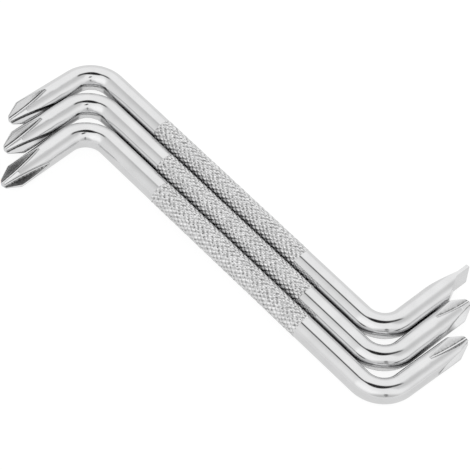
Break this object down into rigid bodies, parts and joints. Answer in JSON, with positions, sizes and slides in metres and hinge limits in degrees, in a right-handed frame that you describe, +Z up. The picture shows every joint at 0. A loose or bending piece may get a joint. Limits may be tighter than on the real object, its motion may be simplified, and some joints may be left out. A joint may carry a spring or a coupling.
{
  "type": "offset screwdriver set",
  "caption": "Nested set of cranked bar screwdrivers: bright plated steel bars with diamond-knurled grips, right-angle arms, cross points and a flat blade.",
  "frame": {"origin": "on the table under the middle of the middle bar", "axes": "+X along the bars towards the arms with the flat blade, +Y towards the back bar, +Z up from the table"},
  "size_m": [0.1391, 0.0796, 0.0072],
  "materials": {
    "plated_steel": "bright chrome plate"
  },
  "bodies": {
    "middle_bar": {"driver_middle": "plated_steel"},
    "back_bar": {"driver_back": "plated_steel"},
    "front_bar": {"driver_front": "plated_steel"}
  },
  "joints": [
    {"name": "back_lift", "type": "slide", "parent": "middle_bar", "child": "back_bar", "axis": [0, 0, 1], "range_m": [0, 0.03]},
    {"name": "front_lift", "type": "slide", "parent": "middle_bar", "child": "front_bar", "axis": [0, 0, 1], "range_m": [0, 0.03]}
  ]
}
